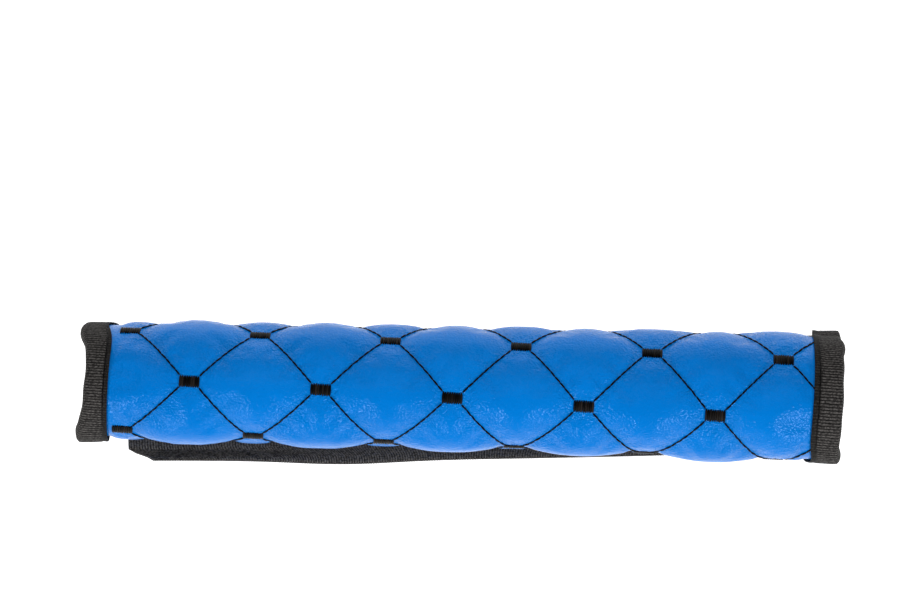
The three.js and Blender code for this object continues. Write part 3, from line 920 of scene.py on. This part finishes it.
def layStitches(name, lines, radius):
    shape, faces = stitchShape()
    places = []
    for line in lines:
        length = lengthAlong(line[:, :2])
        count = max(1, round(length[-1] / stitch["length"]))
        pitch = length[-1] / count
        ahead = (line[-1] - line[0])[:2] / np.hypot(*(line[-1] - line[0])[:2])
        for k in range(count):
            at = (k + 0.5) * pitch + shape[:, 0] * (pitch + stitch["lap"]) / 2
            u, v, rise = (np.interp(at, length, line[:, c]) for c in range(3))
            side = shape[:, 1] * radius + draw.uniform(-1, 1) * stitch["wander"] * shape[:, 0]
            high = radius * (shape[:, 2] + stitch["stand"] - stitch["sink"] * shape[:, 0] ** 4)
            places.append(np.stack([u - ahead[1] * side, v + ahead[0] * side, rise + high], 1))
    piece = repeatShape(name, shape, faces, [rollUp(place) for place in places])
    faceOutwards(piece)
    finishPiece(piece, thread, [])
    print(name, "has", len(places), "stitches")


layStitches("quiltingThread", quiltLines(), stitch["radius"])

seamLines = []
for end in (-1, 1):
    v = np.linspace(-halfWidth, halfWidth, 200)
    u = end * (panel["finishedLength"] / 2 - (panel["endTapeLeg"] - binding["seamIn"]) * legStretch(end, v))
    seamLines.append(np.stack([u, v, np.full_like(v, panel["layerGap"] + panel["endTape"] - 0.25)], 1))
layStitches("bindingSeamThread", seamLines, stitch["seamRadius"])

bar = {
    "threads": 9,
    "radius": 0.5,
    "overlap": 1.12,  # a thread's width as a share of its pitch
    "lift": 0.1,
    "rise": 0.45,
    "unevenness": (0.94, 1.05),  # of the threads' lengths
}


def makeBars():
    mostU = halfBlue - quilt["barLength"] / 2 - panel["layerGap"]
    mostV = halfWidth - panel["sideTapeLeg"] - quilt["barWidth"] / 2 - panel["layerGap"]
    shape, faces = stitchShape()
    pitch = quilt["barLength"] / bar["threads"]
    count = 0
    # The bars are numbered as in the CAD, row by row from the front
    for row, place in itertools.product(range(-9, 10), repeat=2):
        middleU, middleV = fromDiamonds((place + row) / 2, (place - row) / 2)
        if (row + place) % 2 or abs(middleU) > mostU or abs(middleV) > mostV:
            continue
        count += 1
        places = []
        for k in range(bar["threads"]):
            threadU = middleU - quilt["barLength"] / 2 + (k + 0.5) * pitch
            u = threadU + shape[:, 1] * pitch * bar["overlap"] / 2
            v = middleV + shape[:, 0] * quilt["barWidth"] / 2 * draw.uniform(*bar["unevenness"])
            arch = 1 - np.abs(shape[:, 0]) ** 3
            rise = bar["lift"] + bar["rise"] * arch + shape[:, 2] * bar["radius"]
            places.append(rollUp(np.stack([u, v, rise], 1)))
        piece = repeatShape(f"barTack{count:02d}", shape, faces, places)
        # Squared, so that most threads are black and a few get a painted highlight
        tones = draw.uniform(0, 1, bar["threads"]) ** 2
        writeShade(piece, "threadHighlight", np.repeat(tones, len(shape)))
        faceOutwards(piece)
        name = f"bar_tack_{count:02d}"
        finishPiece(piece, thread, [name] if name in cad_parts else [])
    print(count, "bar tacks sewn")


makeBars()

# Floor, light and camera

studio = {
    "floor": 3.0,
    "glow": 0.95,
    "cameraHeight": 1.22,
    "lens": 118.9,
    "roll": math.radians(1.25),
    "aim": (-0.0021, 0.0355),
}

bpy.ops.object.select_all(action="DESELECT")
bpy.ops.mesh.primitive_plane_add(size=studio["floor"], location=(0, 0, 0))
floor = bpy.context.object
floor.name = "floor"
# White paper: its glow shows where it is seen or mirrored, and lights nothing
paper, paperTree, surface = newMaterial("white_paper")
surface.inputs["Base Color"].default_value = linear("#F4F4F4")
surface.inputs["Roughness"].default_value = 0.9
ray = addNode(paperTree, "ShaderNodeLightPath")
glow = addNode(paperTree, "ShaderNodeEmission", {}, {"Color": (1, 1, 1, 1), "Strength": studio["glow"]})
both = addNode(paperTree, "ShaderNodeAddShader", {},
               {0: surface.outputs["BSDF"], 1: glow.outputs["Emission"]})
direct = addNode(paperTree, "ShaderNodeMath", {},
                 {0: ray.outputs["Is Camera Ray"], 1: ray.outputs["Is Glossy Ray"]})
seen = addNode(paperTree, "ShaderNodeMath", {},
               {0: direct.outputs["Value"], 1: ray.outputs["Is Transmission Ray"]})
pick = addNode(paperTree, "ShaderNodeMixShader", {},
               {"Fac": seen.outputs["Value"], 1: surface.outputs["BSDF"], 2: both.outputs["Shader"]})
join(paperTree, paperTree.nodes["Material Output"].inputs["Surface"], pick.outputs["Shader"])
floor.data.materials.append(paper)


def softbox(name, place, size, power, mirrored=True):  # aimed at the pad
    lamp = bpy.data.lights.new(name, "AREA")
    lamp.shape = "RECTANGLE"
    lamp.size, lamp.size_y = size
    lamp.energy = power
    holder = bpy.data.objects.new(name, lamp)
    holder.location = place
    holder.rotation_euler = (-Vector(place)).to_track_quat("-Z", "Y").to_euler()
    holder.visible_glossy = mirrored
    bpy.context.scene.collection.objects.link(holder)


softbox("frontLeftSoftbox", (-0.7, -1.0, 0.72), (0.26, 0.16), 8)
softbox("frontRightSoftbox", (0.7, -1.0, 0.72), (0.26, 0.16), 8)
softbox("rearSoftbox", (0.0, 1.3, 0.36), (1.8, 0.3), 2.5)
# Polarised, so that it brings out the leather's own blue and no shine
softbox("highSoftbox", (0.0, 0.5, 1.2), (1.8, 0.9), 10.5, mirrored=False)

# A white tent that is open to the camera above, so that it lights the pad's top and isn't mirrored in it
tent = {"strength": 0.4, "openFrom": 0.1, "openTo": 0.55}  # from and to are the upward part of the direction
world = bpy.data.worlds.new("studio")
world.use_nodes = True
bpy.context.scene.world = world
worldTree = world.node_tree
direction = addNode(worldTree, "ShaderNodeTexCoord").outputs["Generated"]
upward = addNode(worldTree, "ShaderNodeSeparateXYZ", {}, {"Vector": direction}).outputs["Z"]
wall = addNode(worldTree, "ShaderNodeMapRange", {"interpolation_type": "SMOOTHSTEP"},
               {"Value": upward, "From Min": tent["openFrom"], "From Max": tent["openTo"],
                "To Min": tent["strength"], "To Max": 0.0}).outputs["Result"]
worldRay = addNode(worldTree, "ShaderNodeLightPath")
level = addNode(worldTree, "ShaderNodeMath", {"operation": "MAXIMUM"},
                {0: wall, 1: worldRay.outputs["Is Camera Ray"]})
background = worldTree.nodes["Background"]
background.inputs["Color"].default_value = (1, 1, 1, 1)
join(worldTree, background.inputs["Strength"], level.outputs["Value"])

lens = bpy.data.cameras.new("camera")
lens.lens = studio["lens"]
camera = bpy.data.objects.new("camera", lens)
camera.location = (*studio["aim"], studio["cameraHeight"])
camera.rotation_euler = (0, 0, studio["roll"])
bpy.context.scene.collection.objects.link(camera)
bpy.context.scene.camera = camera
bpy.context.scene.view_settings.view_transform = "Standard"
